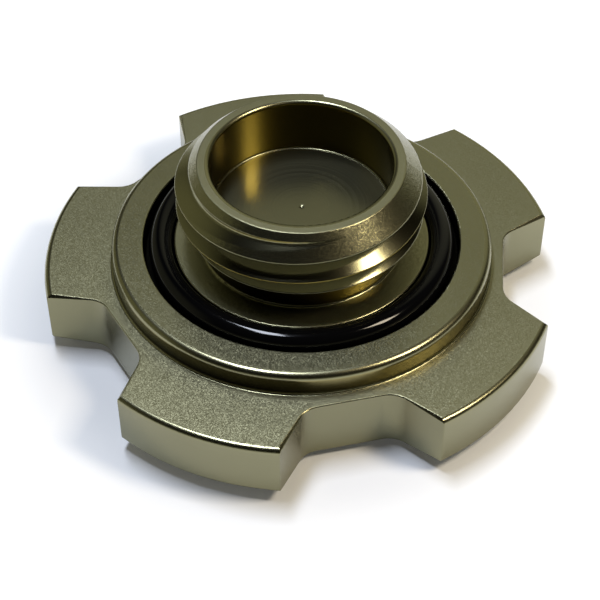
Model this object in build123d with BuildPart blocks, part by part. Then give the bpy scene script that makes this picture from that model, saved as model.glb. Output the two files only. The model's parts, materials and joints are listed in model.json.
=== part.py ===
import os
from math import ceil, cos, radians, sin, tan

from build123d import *

# Oil filler cap, standing on its outer face with the threaded neck upwards.
# Origin at the centre of the outer face, Z along the thread, sizes in millimetres.

# Coarse metric thread on the neck
thread_radius = 15.0
thread_pitch = 3.0
thread_length = 9.725  # from the foot of the run-out ramp to the rim
thread_flank_angle = 30.0
thread_crest = 0.19  # flat that is left between two turns of the groove
thread_root_round = 0.43  # round at the bottom of the groove
thread_start_angle = -88.25
run_out_angle = 45.0  # ramp from the relief up to the thread crest, against the axis
relief_pitches = 0.725  # height of the relief's upright wall, in pitches
relief_undercut = 0.8  # relief wall inside the thread root
neck_root_round = 0.35

# Blind hollow in the neck
neck_wall = 1.33  # between the hollow and the relief
rim_width = 1.4
rim_edge_round = 0.15
bore_depth = 7.24
bore_edge_round = 0.2
bore_floor_round = 0.3
centre_mark_radius = 0.3  # point that the facing tool leaves on the floor
centre_mark_depth = 0.15

# O-ring and its groove
o_ring_section = 3.0
o_ring_proud = 0.9  # height of the ring above the seal face
o_ring_clearance = 0.05  # between the ring and the land inside it
land_step = 0.6  # the land is this much larger than the thread, in radius
land_edge_round = 0.25
groove_slack = 0.65  # room for the ring to spread when it is pressed
groove_floor_round = 0.3
groove_edge_round = 0.2

# Raised seal face around the groove
seal_face_width = 3.9
plateau_height = 3.0
plateau_edge_round = 0.85
plateau_root_round = 0.3

# Lobed finger grip
grip_thickness = 8.85
grip_edge_round = 0.7
outer_flat_radius = 15.0  # the outer face is flat in the middle and slopes up to the lobe tips
outer_slope_rise = 1.75
outer_edge_round = 0.25
lobe_reach = 8.4  # from the seal plateau to the tip of a lobe
lobe_count = 5
notch_web = 1.6  # grip face left between the seal plateau and a notch floor
notch_floor_width = 10.6
notch_flank_angle = 38.0  # each flank against the notch's own centre line
notch_corner_radius = 3.0
notch_floor_break = 0.1  # the broken edge widens from the notch floor to the lobe tips
notch_tip_break = 0.5
notch_start_angle = -5.1
notch_overrun = 1.0  # the notch cutter passes this far beyond the lobe tips
break_angle = 45.0

# Radii, from the thread inwards and then outwards
flank_slope = tan(radians(thread_flank_angle))
half_mouth = (thread_pitch - thread_crest) / 2
thread_depth = half_mouth / flank_slope - thread_root_round * (1 / sin(radians(thread_flank_angle)) - 1)
relief_radius = thread_radius - thread_depth - relief_undercut
bore_radius = relief_radius - neck_wall
rim_radius = bore_radius + rim_width
land_radius = thread_radius + land_step
o_ring_radius = land_radius + o_ring_clearance + o_ring_section / 2
groove_radius = o_ring_radius + o_ring_section / 2 + groove_slack
plateau_radius = groove_radius + seal_face_width
grip_radius = plateau_radius + lobe_reach

# Heights, from the outer face upwards
plateau_top = grip_thickness + plateau_height
groove_floor = plateau_top + o_ring_proud - o_ring_section
ramp_foot = plateau_top + relief_pitches * thread_pitch
ramp_top = ramp_foot + (thread_radius - relief_radius) / tan(radians(run_out_angle))
neck_top = ramp_foot + thread_length
lead_start = neck_top - (thread_radius - rim_radius)
bore_floor = neck_top - bore_depth

# Half-section of the turned blank: radius, height and corner round
turned_section = [
    (0, 0, 0),
    (outer_flat_radius, 0, 0),
    (grip_radius, outer_slope_rise, outer_edge_round),
    (grip_radius, grip_thickness, grip_edge_round),
    (plateau_radius, grip_thickness, plateau_root_round),
    (plateau_radius, plateau_top, plateau_edge_round),
    (groove_radius, plateau_top, groove_edge_round),
    (groove_radius, groove_floor, groove_floor_round),
    (land_radius, groove_floor, groove_floor_round),
    (land_radius, plateau_top, land_edge_round),
    (relief_radius, plateau_top, neck_root_round),
    (relief_radius, ramp_foot, 0),
    (thread_radius, ramp_top, 0),
    (thread_radius, lead_start, 0),
    (rim_radius, neck_top, rim_edge_round),
    (bore_radius, neck_top, bore_edge_round),
    (bore_radius, bore_floor, bore_floor_round),
    (centre_mark_radius, bore_floor, 0),
    (0, bore_floor - centre_mark_depth, 0),
]


# Finger notches that open outwards between the lobes. An inset narrows them at the floor alone.
def notch_ring(floor_inset):
    slope = tan(radians(notch_flank_angle))
    floor = plateau_radius + notch_web
    mouth = grip_radius + notch_overrun
    half_opening = notch_floor_width / 2 + (mouth - floor) * slope
    half_floor = notch_floor_width / 2 + floor_inset * (slope - 1 / cos(radians(notch_flank_angle)))
    corner = notch_corner_radius - floor_inset
    with BuildSketch() as notch:
        with BuildLine():
            FilletPolyline(
                (mouth, -half_opening),
                (floor + floor_inset, -half_floor),
                (floor + floor_inset, half_floor),
                (mouth, half_opening),
                radius=[0, corner, corner, 0],
                close=True,
            )
        make_face()
    with BuildSketch() as ring:
        with PolarLocations(0, lobe_count, start_angle=notch_start_angle):
            add(notch.sketch)
    return ring.sketch


notches = notch_ring(0)
notch_breaks = notch_ring(notch_tip_break - notch_floor_break)

# One turn of the helical thread groove. The turns follow each other from the ramp to above the rim.
mouth_overrun = thread_crest / 4
turn_count = ceil((thread_length + thread_pitch / 2) / thread_pitch)
with BuildPart() as groove_turn:
    with BuildLine():
        helix = Helix(thread_pitch, thread_pitch, thread_radius)
    with BuildSketch(Plane(helix @ 0, x_dir=(1, 0, 0), z_dir=helix % 0)):
        with BuildLine():
            FilletPolyline(
                (mouth_overrun / flank_slope, -half_mouth - mouth_overrun),
                (-half_mouth / flank_slope, 0),
                (mouth_overrun / flank_slope, half_mouth + mouth_overrun),
                radius=[0, thread_root_round, 0],
                close=True,
            )
        make_face()
    sweep(path=helix, is_frenet=True)

with BuildPart() as cap_body:
    with BuildSketch(Plane.XZ):
        with BuildLine():
            FilletPolyline(
                *[(radius, height) for radius, height, corner in turned_section],
                radius=[corner for radius, height, corner in turned_section],
                close=True,
            )
        make_face()
    revolve(axis=Axis.Z)
    with BuildSketch():
        add(notches)
    extrude(amount=grip_thickness, mode=Mode.SUBTRACT)
    with BuildSketch(Plane.XY.offset(grip_thickness - notch_tip_break)):
        add(notch_breaks)
    extrude(amount=notch_tip_break, taper=-break_angle, mode=Mode.SUBTRACT)
    with Locations(*[(0, 0, ramp_foot + turn * thread_pitch) for turn in range(turn_count)]):
        add(groove_turn.part, rotation=(0, 0, thread_start_angle), mode=Mode.SUBTRACT)

with BuildPart() as o_ring:
    with BuildSketch(Plane.XZ):
        with Locations((o_ring_radius, groove_floor + o_ring_section / 2)):
            Circle(o_ring_section / 2)
    revolve(axis=Axis.Z)

os.makedirs("parts", exist_ok=True)
cap_body.part.label = "cap_body"
export_step(cap_body.part, "parts/cap_body.step")
o_ring.part.label = "o_ring"
export_step(o_ring.part, "parts/o_ring.step")
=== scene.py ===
import bpy
import json
from math import cos, radians, sin
from mathutils import Matrix, Quaternion, Vector

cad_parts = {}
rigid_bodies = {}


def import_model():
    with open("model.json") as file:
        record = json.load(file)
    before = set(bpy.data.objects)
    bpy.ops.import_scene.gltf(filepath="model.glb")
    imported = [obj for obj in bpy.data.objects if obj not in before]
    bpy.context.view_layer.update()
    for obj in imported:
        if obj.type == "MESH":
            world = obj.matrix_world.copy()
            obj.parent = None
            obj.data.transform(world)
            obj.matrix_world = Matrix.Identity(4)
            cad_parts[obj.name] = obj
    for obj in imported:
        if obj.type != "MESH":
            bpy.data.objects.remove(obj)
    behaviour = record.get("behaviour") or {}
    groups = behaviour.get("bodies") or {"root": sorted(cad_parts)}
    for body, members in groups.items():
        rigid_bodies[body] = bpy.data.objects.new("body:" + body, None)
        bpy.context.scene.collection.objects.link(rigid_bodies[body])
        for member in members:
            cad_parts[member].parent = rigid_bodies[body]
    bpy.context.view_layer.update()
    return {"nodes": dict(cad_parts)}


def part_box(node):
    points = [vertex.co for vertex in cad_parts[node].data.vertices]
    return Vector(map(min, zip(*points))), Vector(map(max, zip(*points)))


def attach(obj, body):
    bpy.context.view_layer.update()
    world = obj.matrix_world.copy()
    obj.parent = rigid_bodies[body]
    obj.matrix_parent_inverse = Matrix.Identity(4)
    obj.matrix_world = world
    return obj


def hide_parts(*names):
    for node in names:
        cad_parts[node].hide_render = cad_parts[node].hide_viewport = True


for leftover in list(bpy.data.objects):
    bpy.data.objects.remove(leftover)  # a new file comes with a cube, a lamp and a camera
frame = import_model()
mm = 0.001  # every size below is written in millimetres

capNode = frame["nodes"]["cap_body"]
ringLow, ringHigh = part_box("o_ring")
capLow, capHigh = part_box("cap_body")
print("frame loaded, cap is %.1f mm across" % ((capHigh.x - capLow.x) / mm))


def linearColour(code):
    channels = [int(code[i:i + 2], 16) / 255 for i in (1, 3, 5)]
    return [c / 12.92 if c <= 0.04045 else ((c + 0.055) / 1.055) ** 2.4 for c in channels] + [1.0]


# adds one node, sets its options, and feeds each named socket from another socket or with a plain value
def addNode(tree, kind, feeds=None, **options):
    node = tree.nodes.new(kind)
    for name, option in options.items():
        setattr(node, name, option)
    for name, value in (feeds or {}).items():
        if isinstance(value, bpy.types.NodeSocket):
            tree.links.new(value, node.inputs[name])
        else:
            node.inputs[name].default_value = value
    return node


# the helpers below give back the socket that holds their result
def combine(tree, operation, *values, **options):
    return addNode(tree, "ShaderNodeMath", dict(enumerate(values)), operation=operation, **options).outputs[0]


def combineVectors(tree, operation, *values):
    node = addNode(tree, "ShaderNodeVectorMath", dict(enumerate(values)), operation=operation)
    return node.outputs["Value" if operation in ("LENGTH", "DOT_PRODUCT") else "Vector"]


def stretch(tree, vector, factor):
    node = addNode(tree, "ShaderNodeVectorMath", {0: vector, "Scale": factor}, operation="SCALE")
    return node.outputs["Vector"]


def over(tree, value, limit):
    return combine(tree, "GREATER_THAN", value, limit)


def under(tree, value, limit):
    return combine(tree, "LESS_THAN", value, limit)


def allOf(tree, mask, *others):
    for other in others:
        mask = combine(tree, "MULTIPLY", mask, other)
    return mask


def opposite(tree, mask):
    return combine(tree, "SUBTRACT", 1.0, mask)


# smooth step from one level to another while a value crosses its span
def ramp(tree, value, span, start=0.0, end=1.0):
    feeds = {"Value": value, "From Min": span[0], "From Max": span[1], "To Min": start, "To Max": end}
    return addNode(tree, "ShaderNodeMapRange", feeds, interpolation_type="SMOOTHSTEP").outputs[0]


# even change from one value to another as a mask rises
def between(tree, mask, first, second):
    return addNode(tree, "ShaderNodeMapRange", {"Value": mask, "To Min": first, "To Max": second}).outputs[0]


# the mix node keeps its colours on sockets 6 and 7, and gives the result on its third output
def blend(tree, mask, first, second):
    return addNode(tree, "ShaderNodeMix", {0: mask, 6: first, 7: second}, data_type="RGBA").outputs[2]


def newMaterial(name):
    material = bpy.data.materials.new(name)
    material.use_nodes = True
    material.node_tree.nodes.clear()
    return material, material.node_tree


# Bead-blasted, titanium-tone anodised aluminium: a dark olive-grey metal with a fine sparkle on the
# blasted faces, smoother on the turned walls and the handled edges, with tool rings in the hollow, a painted
# warm reflection on the walls, and painted shade in the inner corners, the hollow and the O-ring's groove.
# A slope is the upright share of a face's normal.
capFinish = {
    "colour": "#88866B",
    "shade": "#807E64",
    "cloudSize": 9.0,
    "cloudDetail": 3.0,
    "reflectionGold": "#84773C",  # painted warm reflection on the walls of the hollow and the relief, and on the plateau's wall in part
    "plateauReflection": 0.5,
    "grooveShade": "#0A0A08",  # painted shade in the O-ring's groove
    # painted shade, for the inner corners, the thread and the hollow
    "paintedShadeColour": "#17140C",
    "shadeReach": 3.0,
    "shadeOpenness": (0.97, 0.65),  # openness of a corner where the painted shade starts and where it is full
    "rightLitSpan": (-0.3, 0.6),  # the painted shade thins on faces turned to the right, where the right lamp falls
    "rightLitShare": 0.25,
    "threadShade": 0.4,
    "hollowShade": 0.22,
    "blastedRoughness": 0.4,
    "sealRoughness": 0.31,
    "coneRoughness": 0.27,
    "threadRoughness": 0.16,
    "turnedRoughness": 0.19,
    "floorRoughness": 0.3,
    "handledRoughness": 0.26,
    "grainSize": 0.09,  # real bead marks are about 0.05 mm, too fine to show
    "grainTilt": 0.19,
    "neckGrain": 0.6,  # the neck is blasted more lightly
    "ringSpacing": 0.45,
    "ringDepth": 0.012,
    "ringDetail": 2.0,
    "edgeRound": 0.2,  # break of the edges that have no round of their own
    "raySamples": 8,  # of the nodes that look for edges and corners
    "wallSlope": (0.08, 0.35),  # upright faces lie under the beads' path and stay smooth
    "roundSlope": (0.98, 0.998),  # fingers polish what leans on the grip and the plateau
    "coneSlope": (0.74, 0.78),  # the lead-in cone is steeper than the thread's flanks
    "flankSlope": (0.93, 0.97),  # and the flats are less steep
    "sealDepth": (2.5, 0.85),  # the seal face lies between these depths under the ring's top
    "rootDepth": 3.5,  # and the foot of its plateau at this one
    "grooveRadius": (15.55, 19.32),
    "grooveLip": 0.2,  # left unshaded under the seal face
    "rimDepth": 0.4,  # the thread starts this far under the rim
    "hollowRadius": 10.9,
    "hollowDepth": (7.6, 0.1),  # floor and mouth, under the rim
    # each round by the radius and height of its centre, how far the mesh's facets may lie off it, the side
    # of the centre that it lies on, and whether it faces away from the centre (1) or towards it (-1).
    # The mouth is worn wider than it was cut.
    "rounds": {
        "lobeTips": {"centre": (30.9, 8.15), "size": 0.7, "slack": 0.08, "side": (1, 1), "facing": 1},
        "plateauEdge": {"centre": (22.35, 11.0), "size": 0.85, "slack": 0.08, "side": (1, 1), "facing": 1},
        "plateauRoot": {"centre": (23.5, 9.15), "size": 0.3, "slack": 0.08, "side": (-1, -1), "facing": -1},
        "land": {"centre": (15.35, 11.6), "size": 0.25, "slack": 0.08, "side": (1, 1), "facing": 1},
        "hollowMouth": {"centre": (11.37, 23.25), "size": 0.5, "slack": 0.14, "side": (-1, 1), "facing": 1},
        "hollowFoot": {"centre": (10.57, 16.81), "size": 0.3, "slack": 0.08, "side": (1, -1), "facing": -1},
    },
}


# where each part of the cap lies: positions, slopes and masks from 0 to 1
def capRegions(tree):
    finish = capFinish
    coords = addNode(tree, "ShaderNodeTexCoord").outputs
    height = addNode(tree, "ShaderNodeSeparateXYZ", {0: coords["Object"]}).outputs["Z"]
    flat = combineVectors(tree, "MULTIPLY", coords["Object"], (1, 1, 0))
    radius = combineVectors(tree, "LENGTH", flat)
    facing = addNode(tree, "ShaderNodeSeparateXYZ", {0: coords["Normal"]}).outputs
    slope = combine(tree, "ABSOLUTE", facing["Z"])

    hollow = allOf(tree, under(tree, radius, finish["hollowRadius"] * mm),
                   over(tree, height, capHigh.z - finish["hollowDepth"][0] * mm),
                   under(tree, height, capHigh.z - finish["hollowDepth"][1] * mm))
    outside = opposite(tree, hollow)
    level = ramp(tree, slope, finish["wallSlope"])
    low = under(tree, height, ringHigh.z - finish["sealDepth"][1] * mm)
    neck = opposite(tree, low)
    overRoot = over(tree, height, ringHigh.z - finish["rootDepth"] * mm)
    seal = allOf(tree, over(tree, height, ringHigh.z - finish["sealDepth"][0] * mm), low)

    withinGroove = under(tree, radius, finish["grooveRadius"][1] * mm)
    grooveTop = ringHigh.z - (finish["sealDepth"][1] + finish["grooveLip"]) * mm
    groove = allOf(tree, over(tree, radius, finish["grooveRadius"][0] * mm), withinGroove,
                   under(tree, height, grooveTop), overRoot)
    gripAndPlateau = combine(tree, "SUBTRACT", low, withinGroove, use_clamp=True)
    leaning = ramp(tree, slope, finish["roundSlope"], 1.0, 0.0)

    pastCone = ramp(tree, slope, finish["coneSlope"])
    beforeFlats = ramp(tree, slope, finish["flankSlope"], 1.0, 0.0)
    threaded = allOf(tree, under(tree, height, capHigh.z - finish["rimDepth"] * mm), neck)
    return {
        "position": coords["Object"],
        "height": height,
        "flat": flat,
        "radius": radius,
        "rightward": facing["X"],
        "hollow": hollow,
        "outside": outside,
        "level": level,
        "upright": opposite(tree, level),
        "reached": allOf(tree, level, outside),
        "neck": neck,
        "overRoot": overRoot,
        "seal": seal,
        "groove": groove,
        "handled": allOf(tree, leaning, gripAndPlateau),
        "pastCone": pastCone,
        "flank": allOf(tree, pastCone, beforeFlats, threaded),
    }


# one round of the turned shape as a mask and a normal, from its own centre, so that the mesh's facets
# don't break up its highlight
def turnedRound(tree, at, shape):
    across = combine(tree, "SUBTRACT", at["radius"], shape["centre"][0] * mm)
    up = combine(tree, "SUBTRACT", at["height"], capLow.z + shape["centre"][1] * mm)
    outward = combineVectors(tree, "NORMALIZE", at["flat"])
    rise = addNode(tree, "ShaderNodeCombineXYZ", {"Z": up}).outputs[0]
    spoke = combineVectors(tree, "ADD", stretch(tree, outward, across), rise)
    length = combineVectors(tree, "LENGTH", spoke)
    near = combine(tree, "COMPARE", length, shape["size"] * mm, shape["slack"] * mm)
    quarter = [over(tree, value, 0.0) if side > 0 else under(tree, value, 0.0)
               for value, side in zip((across, up), shape["side"])]
    normal = combineVectors(tree, "NORMALIZE", stretch(tree, spoke, shape["facing"]))
    return allOf(tree, *quarter, near), normal


# softened edges, then the rounds. The rounds count as handled too.
def capEdges(tree, at):
    finish = capFinish
    bend = addNode(tree, "ShaderNodeBevel", {"Radius": finish["edgeRound"] * mm},
                   samples=finish["raySamples"]).outputs[0]
    for shape in finish["rounds"].values():
        mask, normal = turnedRound(tree, at, shape)
        at["handled"] = combine(tree, "MAXIMUM", at["handled"], mask)
        # the mix node keeps its vectors on sockets 4 and 5
        bend = addNode(tree, "ShaderNodeMix", {0: mask, 4: bend, 5: normal}, data_type="VECTOR").outputs[1]
    return bend


# each bead mark leans its own way, so it catches a lamp or misses it, and the facing tool leaves rings
def capSurface(tree, at, bend):
    finish = capFinish
    middle = (0.5, 0.5, 0.5)  # of the marks' colours
    blasted = allOf(tree, at["reached"], opposite(tree, at["handled"]), opposite(tree, at["flank"]))
    marks = addNode(tree, "ShaderNodeTexVoronoi", {"Scale": 1 / (finish["grainSize"] * mm),
                                                   "Vector": at["position"]})
    lean = combineVectors(tree, "SUBTRACT", marks.outputs["Color"], middle)
    strength = between(tree, at["neck"], finish["grainTilt"], finish["grainTilt"] * finish["neckGrain"])
    tilted = combineVectors(tree, "ADD", bend, stretch(tree, lean, allOf(tree, blasted, strength)))
    grained = combineVectors(tree, "NORMALIZE", tilted)

    ringPlace = combine(tree, "MULTIPLY", at["radius"], 1 / (finish["ringSpacing"] * mm))
    rings = addNode(tree, "ShaderNodeTexNoise",
                    {"W": ringPlace, "Scale": 1.0, "Detail": finish["ringDetail"]}, noise_dimensions="1D")
    bumped = addNode(tree, "ShaderNodeBump", {"Distance": finish["ringDepth"] * mm, "Strength": at["hollow"],
                                              "Height": rings.outputs["Fac"], "Normal": grained})
    return bumped.outputs[0]


def capRoughness(tree, at):
    finish = capFinish
    beaded = between(tree, at["pastCone"], finish["coneRoughness"], finish["blastedRoughness"])
    faced = between(tree, at["seal"], beaded, finish["sealRoughness"])
    cut = between(tree, at["flank"], faced, finish["threadRoughness"])
    hollowFloor = allOf(tree, at["level"], at["hollow"])
    turned = between(tree, hollowFloor, finish["turnedRoughness"], finish["floorRoughness"])
    plain = between(tree, at["reached"], turned, cut)
    return between(tree, at["handled"], plain, finish["handledRoughness"])


# clouded anodising, a painted warm reflection on the walls, then painted shade in the inner corners, the
# hollow and the O-ring's groove
def capColour(tree, at):
    finish = capFinish
    cloud = addNode(tree, "ShaderNodeTexNoise", {"Scale": 1 / (finish["cloudSize"] * mm),
                                                 "Detail": finish["cloudDetail"], "Vector": at["position"]})
    tone = blend(tree, cloud.outputs["Fac"], linearColour(finish["shade"]), linearColour(finish["colour"]))
    # painted reflection: the upright walls of the neck, and of the plateau in part, take a warm tint for the
    # light they mirror back and forth
    plateau = combine(tree, "MULTIPLY", at["overRoot"], finish["plateauReflection"])
    reflectingWalls = allOf(tree, at["upright"], combine(tree, "MAXIMUM", at["neck"], plateau))
    tint = blend(tree, reflectingWalls, tone, linearColour(finish["reflectionGold"]))

    # painted shade: faces in closed-in inner corners are darkened, the thread's flanks less, and faces turned
    # to the right lamp less again
    corner = addNode(tree, "ShaderNodeAmbientOcclusion", {"Distance": finish["shadeReach"] * mm},
                     samples=finish["raySamples"])
    cornerDarkening = addNode(tree, "ShaderNodeMapRange", {"Value": corner.outputs["AO"],
                                                "From Min": finish["shadeOpenness"][0],
                                                "From Max": finish["shadeOpenness"][1]})
    onThread = combine(tree, "MULTIPLY", at["flank"], finish["threadShade"])
    shadedFaces = combine(tree, "MAXIMUM", at["upright"], onThread)
    exposed = allOf(tree, shadedFaces, at["overRoot"], at["outside"])
    lessOnRight = ramp(tree, at["rightward"], finish["rightLitSpan"], 1.0, finish["rightLitShare"])
    paintedCornerShade = allOf(tree, cornerDarkening.outputs[0], exposed, lessOnRight)
    # painted shade: the inside of the hollow is darkened as a whole
    hollowDarkening = combine(tree, "MULTIPLY", at["hollow"], finish["hollowShade"])
    shadedTint = blend(tree, combine(tree, "MAXIMUM", paintedCornerShade, hollowDarkening), tint, linearColour(finish["paintedShadeColour"]))
    # painted shade: the O-ring's groove is darkened where the ring shades it
    return blend(tree, at["groove"], shadedTint, linearColour(finish["grooveShade"]))


def anodisedAluminium():
    material, tree = newMaterial("bead_blasted_anodised_aluminium")
    at = capRegions(tree)
    normal = capSurface(tree, at, capEdges(tree, at))
    shader = addNode(tree, "ShaderNodeBsdfPrincipled", {
        "Base Color": capColour(tree, at),
        "Metallic": 1.0,
        "Roughness": capRoughness(tree, at),
        "Normal": normal,
    })
    addNode(tree, "ShaderNodeOutputMaterial", {"Surface": shader.outputs[0]})
    return material


# Moulded nitrile rubber: deep black with a wet-looking gloss and a faint bloom
ringFinish = {
    "colour": "#060607",
    "roughness": (0.07, 0.11),
    "gloss": 0.22,
    "bloomSize": 1.6,
    "bloomDetail": 2.0,
}


def nitrileRubber():
    finish = ringFinish
    material, tree = newMaterial("moulded_nitrile_rubber")
    coords = addNode(tree, "ShaderNodeTexCoord")
    bloom = addNode(tree, "ShaderNodeTexNoise", {"Scale": 1 / (finish["bloomSize"] * mm),
                                                 "Detail": finish["bloomDetail"],
                                                 "Vector": coords.outputs["Object"]})
    shader = addNode(tree, "ShaderNodeBsdfPrincipled", {
        "Base Color": linearColour(finish["colour"]),
        "Specular IOR Level": finish["gloss"],
        "Roughness": between(tree, bloom.outputs["Fac"], *finish["roughness"]),
    })
    addNode(tree, "ShaderNodeOutputMaterial", {"Surface": shader.outputs[0]})
    return material


capNode.data.materials.clear()
capNode.data.materials.append(anodisedAluminium())
print("cap body finished")

# O-ring: a round section swept along the seal circle, with the thin flash of its two-part mould
ringForm = {
    "ringSteps": 256,
    "sectionSteps": 48,
    "flashHeight": 0.03,
    "flashWidth": 0.25,
}


def ringTree():
    tree = bpy.data.node_groups.new("moulded_ring", "GeometryNodeTree")
    for name, kind in (("Ring Radius", "NodeSocketFloat"), ("Section Radius", "NodeSocketFloat"),
                       ("Flash Height", "NodeSocketFloat"), ("Flash Width", "NodeSocketFloat"),
                       ("Ring Steps", "NodeSocketInt"), ("Section Steps", "NodeSocketInt"),
                       ("Height", "NodeSocketFloat"), ("Material", "NodeSocketMaterial")):
        tree.interface.new_socket(name, in_out="INPUT", socket_type=kind)
    tree.interface.new_socket("Geometry", in_out="OUTPUT", socket_type="NodeSocketGeometry")
    given = addNode(tree, "NodeGroupInput").outputs
    path = addNode(tree, "GeometryNodeCurvePrimitiveCircle",
                   {"Resolution": given["Ring Steps"], "Radius": given["Ring Radius"]})
    section = addNode(tree, "GeometryNodeCurvePrimitiveCircle",
                      {"Resolution": given["Section Steps"], "Radius": given["Section Radius"]})
    # the flash stands out where the section meets the parting plane, level with its centre
    spot = addNode(tree, "GeometryNodeInputPosition").outputs[0]
    away = combine(tree, "ABSOLUTE", addNode(tree, "ShaderNodeSeparateXYZ", {0: spot}).outputs["Y"])
    fade = ramp(tree, away, (0.0, given["Flash Width"]), 1.0, 0.0)
    lift = combine(tree, "MULTIPLY", fade, given["Flash Height"])
    push = stretch(tree, combineVectors(tree, "NORMALIZE", spot), lift)
    flashed = addNode(tree, "GeometryNodeSetPosition", {0: section.outputs[0], "Offset": push})
    swept = addNode(tree, "GeometryNodeCurveToMesh", {0: path.outputs[0], 1: flashed.outputs[0]})
    height = addNode(tree, "ShaderNodeCombineXYZ", {"Z": given["Height"]})
    seated = addNode(tree, "GeometryNodeSetPosition", {0: swept.outputs[0], "Offset": height.outputs[0]})
    smooth = addNode(tree, "GeometryNodeSetShadeSmooth", {0: seated.outputs[0]})
    real = addNode(tree, "GeometryNodeRealizeInstances", {0: smooth.outputs[0]})
    dressed = addNode(tree, "GeometryNodeSetMaterial", {0: real.outputs[0], "Material": given["Material"]})
    addNode(tree, "NodeGroupOutput", {0: dressed.outputs[0]})
    return tree


# runs a tree on an empty mesh and keeps the result as a plain mesh
def growPiece(name, tree, inputs):
    maker = bpy.data.objects.new(name + "_maker", bpy.data.meshes.new(name + "_seed"))
    bpy.context.collection.objects.link(maker)
    modifier = maker.modifiers.new("grow", "NODES")
    modifier.node_group = tree
    for item in tree.interface.items_tree:
        if item.in_out == "INPUT":
            modifier[item.identifier] = inputs[item.name]
    seen = maker.evaluated_get(bpy.context.evaluated_depsgraph_get())
    mesh = bpy.data.meshes.new_from_object(seen)
    maker.modifiers.remove(modifier)
    bpy.data.objects.remove(maker)
    piece = bpy.data.objects.new(name, mesh)
    bpy.context.collection.objects.link(piece)
    return piece


section = (ringHigh.z - ringLow.z) / 2
sealRing = growPiece("seal_ring", ringTree(), {
    "Ring Radius": (ringHigh.x - ringLow.x) / 2 - section,
    "Section Radius": section - ringForm["flashHeight"] * mm,
    "Flash Height": ringForm["flashHeight"] * mm,
    "Flash Width": ringForm["flashWidth"] * mm,
    "Ring Steps": ringForm["ringSteps"],
    "Section Steps": ringForm["sectionSteps"],
    "Height": (ringHigh.z + ringLow.z) / 2,
    "Material": nitrileRubber(),
})
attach(sealRing, "root")
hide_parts("o_ring")
print("seal ring has %d faces" % len(sealRing.data.polygons))

# White table: plain for the light that falls on it, and lifted to white where it is seen or mirrored
tableLook = {
    "size": 2400.0,
    "colour": "#E6E8EC",
    "lift": (0.05, 0.44),  # under the object and away from it
    "reach": (28.0, 46.0),
    "farLift": 0.4,  # and once more where the lamps no longer reach
    "farReach": (70.0, 350.0),
    "drop": 0.02,  # keeps it clear of the cap's flat face
}


def tableTop():
    look = tableLook
    material, tree = newMaterial("white_table")
    rays = addNode(tree, "ShaderNodeLightPath").outputs
    seen = combine(tree, "MAXIMUM", rays["Is Camera Ray"], rays["Is Glossy Ray"])
    shown = combine(tree, "MAXIMUM", seen, rays["Is Transmission Ray"])
    coords = addNode(tree, "ShaderNodeTexCoord")
    away = combineVectors(tree, "LENGTH", coords.outputs["Object"])
    lift = ramp(tree, away, [edge * mm for edge in look["reach"]], *look["lift"])
    far = ramp(tree, away, [edge * mm for edge in look["farReach"]], 0.0, look["farLift"])
    strength = combine(tree, "MULTIPLY", shown, combine(tree, "ADD", lift, far))
    glow = addNode(tree, "ShaderNodeEmission", {"Strength": strength})
    matt = addNode(tree, "ShaderNodeBsdfDiffuse", {"Color": linearColour(look["colour"])})
    both = addNode(tree, "ShaderNodeAddShader", {0: matt.outputs[0], 1: glow.outputs[0]})
    addNode(tree, "ShaderNodeOutputMaterial", {"Surface": both.outputs[0]})
    half = look["size"] * mm / 2
    level = -look["drop"] * mm
    corners = [(x * half, y * half, level) for x, y in ((-1, -1), (1, -1), (1, 1), (-1, 1))]
    mesh = bpy.data.meshes.new("table")
    mesh.from_pydata(corners, [], [(0, 1, 2, 3)])
    mesh.materials.append(material)
    table = bpy.data.objects.new("table", mesh)
    bpy.context.collection.objects.link(table)


tableTop()
print("table laid")

# Soft boxes around the object, each by its bearing and height in degrees as seen from the cap
lamps = {
    "rightBox": {"bearing": -19, "height": 55, "spin": 0, "distance": 180, "size": (33, 50), "power": 0.165,
                 "colour": "#FFEFD2"},
    "leftBox": {"bearing": 138, "height": 78, "spin": -48, "distance": 500, "size": (72, 210), "power": 1.85,
                "colour": "#EAF1FF"},
}


def hangLamps():
    for name, look in lamps.items():
        lamp = bpy.data.lights.new(name, "AREA")
        lamp.shape = "RECTANGLE"
        lamp.size, lamp.size_y = look["size"][0] * mm, look["size"][1] * mm
        lamp.energy = look["power"]
        lamp.color = linearColour(look["colour"])[:3]
        turn, tilt = radians(look["bearing"]), radians(look["height"])
        way = Vector((cos(tilt) * cos(turn), cos(tilt) * sin(turn), sin(tilt)))
        spin = Quaternion((0, 0, 1), radians(look["spin"]))
        holder = bpy.data.objects.new(name, lamp)
        holder.location = way * look["distance"] * mm
        holder.rotation_euler = (way.to_track_quat("Z", "Y") @ spin).to_euler()
        bpy.context.collection.objects.link(holder)


# Room: a pale patch behind the object, dull warm walls at the left and along the horizon, dark elsewhere
roomLook = {
    "back": "#CBC9A8",
    "dark": "#12110F",
    "walls": "#92906F",
    "seen": "#FFFFFF",  # what the camera itself sees behind the table
    "backWay": (0.25, 0.85, 0.45),
    "backFade": (0.8, 1.0),
    "leftWay": (-0.95, 0.3, 0.15),
    "leftFade": (0.65, 0.92),
    "wallTop": (0.08, 0.3),
}


# how closely the room's directions lie to a given one
def towards(tree, directions, way, fade):
    near = combineVectors(tree, "DOT_PRODUCT", directions, Vector(way).normalized())
    return ramp(tree, near, fade)


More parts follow.
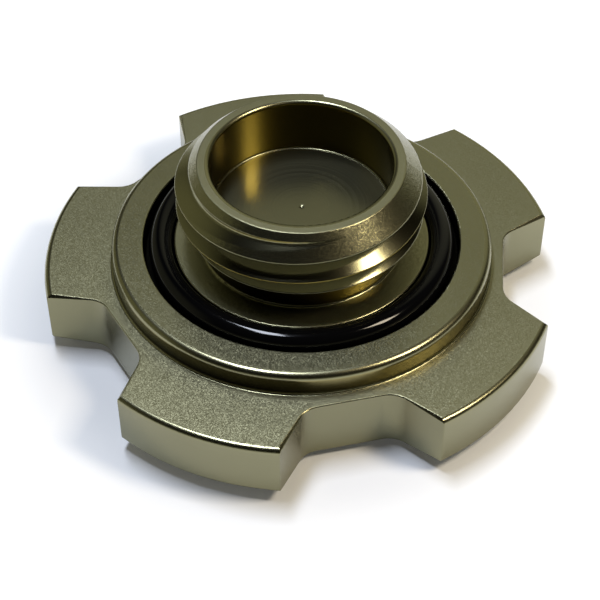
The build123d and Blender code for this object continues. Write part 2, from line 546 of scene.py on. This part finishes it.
def paintRoom():
    look = roomLook
    world = bpy.data.worlds.new("studio")
    world.use_nodes = True
    tree = world.node_tree
    tree.nodes.clear()
    directions = addNode(tree, "ShaderNodeTexCoord").outputs["Generated"]
    behind = towards(tree, directions, look["backWay"], look["backFade"])
    beside = towards(tree, directions, look["leftWay"], look["leftFade"])
    rise = addNode(tree, "ShaderNodeSeparateXYZ", {0: directions}).outputs["Z"]
    low = ramp(tree, rise, look["wallTop"], 1.0, 0.0)
    around = combine(tree, "MAXIMUM", low, beside)
    walls = blend(tree, around, linearColour(look["dark"]), linearColour(look["walls"]))
    tone = blend(tree, behind, walls, linearColour(look["back"]))
    room = addNode(tree, "ShaderNodeBackground", {"Color": tone})
    blank = addNode(tree, "ShaderNodeBackground", {"Color": linearColour(look["seen"])})
    rays = addNode(tree, "ShaderNodeLightPath")
    shown = addNode(tree, "ShaderNodeMixShader", {0: rays.outputs["Is Camera Ray"], 1: room.outputs[0],
                                                  2: blank.outputs[0]})
    addNode(tree, "ShaderNodeOutputWorld", {"Surface": shown.outputs[0]})
    bpy.context.scene.world = world


hangLamps()
paintRoom()
print("lamps and room set")

# Camera where the photograph was taken from, for a square picture
cameraView = {
    "elevation": 45.8,
    "roll": -0.1584,
    "distance": 203.1,
    "aimHeight": 8.85,
    "aimShift": (-0.1838, -5.8647),  # across and up the picture
    "lens": 98.751,
    "sensor": 36.0,
    "clipStart": 10.0,
}


def standCamera():
    view = cameraView
    tilt, roll = radians(view["elevation"]), radians(view["roll"])
    back = Vector((0, -cos(tilt), sin(tilt)))
    right = Vector((1, 0, 0))
    up = back.cross(right)
    across = right * cos(roll) + up * sin(roll)
    upward = up * cos(roll) - right * sin(roll)
    aim = Vector((0, 0, view["aimHeight"])) + across * view["aimShift"][0] + upward * view["aimShift"][1]
    lens = bpy.data.cameras.new("studioCamera")
    lens.lens = view["lens"]
    lens.sensor_width = view["sensor"]
    lens.clip_start = view["clipStart"] * mm
    camera = bpy.data.objects.new("studioCamera", lens)
    turned = Matrix((across, upward, back)).transposed().to_4x4()
    camera.matrix_world = Matrix.Translation((aim + back * view["distance"]) * mm) @ turned
    bpy.context.collection.objects.link(camera)
    bpy.context.scene.camera = camera


standCamera()
bpy.context.scene.view_settings.view_transform = "Standard"
print("camera placed")
